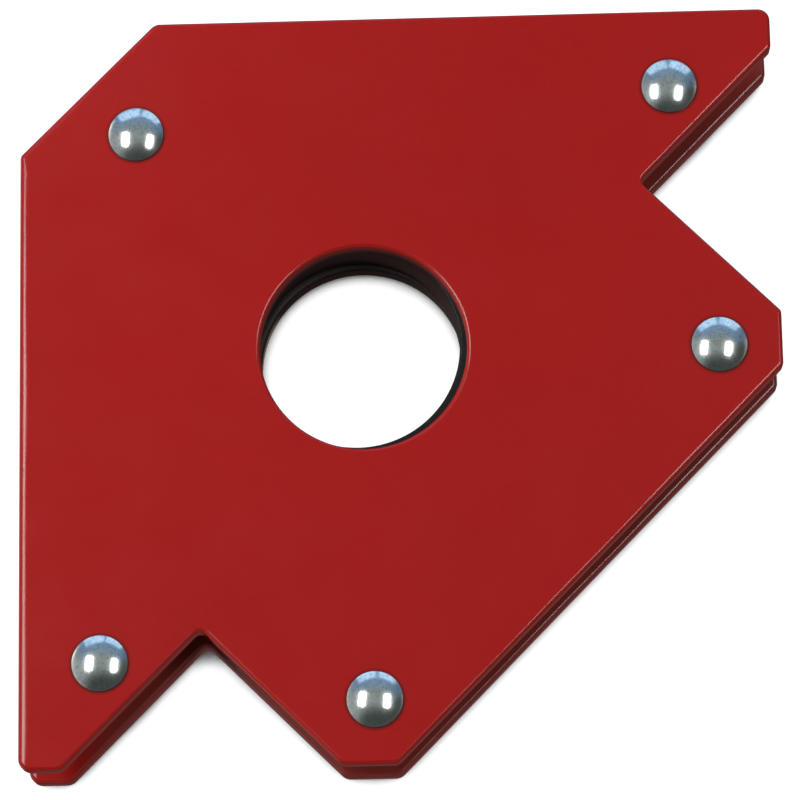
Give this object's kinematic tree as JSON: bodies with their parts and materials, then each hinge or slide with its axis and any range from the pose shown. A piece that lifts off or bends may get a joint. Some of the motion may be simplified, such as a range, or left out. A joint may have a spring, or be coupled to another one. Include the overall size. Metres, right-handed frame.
{
  "type": "welding magnet holder",
  "caption": "Flat magnetic corner holder for welding: riveted red steel plates over a ring magnet, square with a cut corner, V-notches, a long diagonal edge and a round hole.",
  "frame": {"origin": "bottom centre of the whole holder, on the surface that its rear rivet heads stand on", "axes": "+Z is normal to the plates and points out of the front plate, away from the surface it lies on; +X runs along the straight top edge away from the cut corner; +Y runs along the straight left edge towards the cut corner"},
  "size_m": [0.127, 0.127, 0.0238],
  "materials": {
    "red_plate": "semi-gloss red powder coat",
    "magnet": "semi-gloss black ferrite",
    "rivet_steel": "bright nickel-plated steel",
    "spacer_steel": "dull zinc-plated steel"
  },
  "bodies": {
    "root": {"front_plate": "red_plate", "rear_plate": "red_plate", "ring_magnet": "magnet", "rivet_top_left": "rivet_steel", "spacer_top_left": "spacer_steel", "rivet_top_right": "rivet_steel", "spacer_top_right": "spacer_steel", "rivet_right": "rivet_steel", "spacer_right": "spacer_steel", "rivet_bottom": "rivet_steel", "spacer_bottom": "spacer_steel", "rivet_bottom_left": "rivet_steel", "spacer_bottom_left": "spacer_steel"}
  },
  "joints": []
}
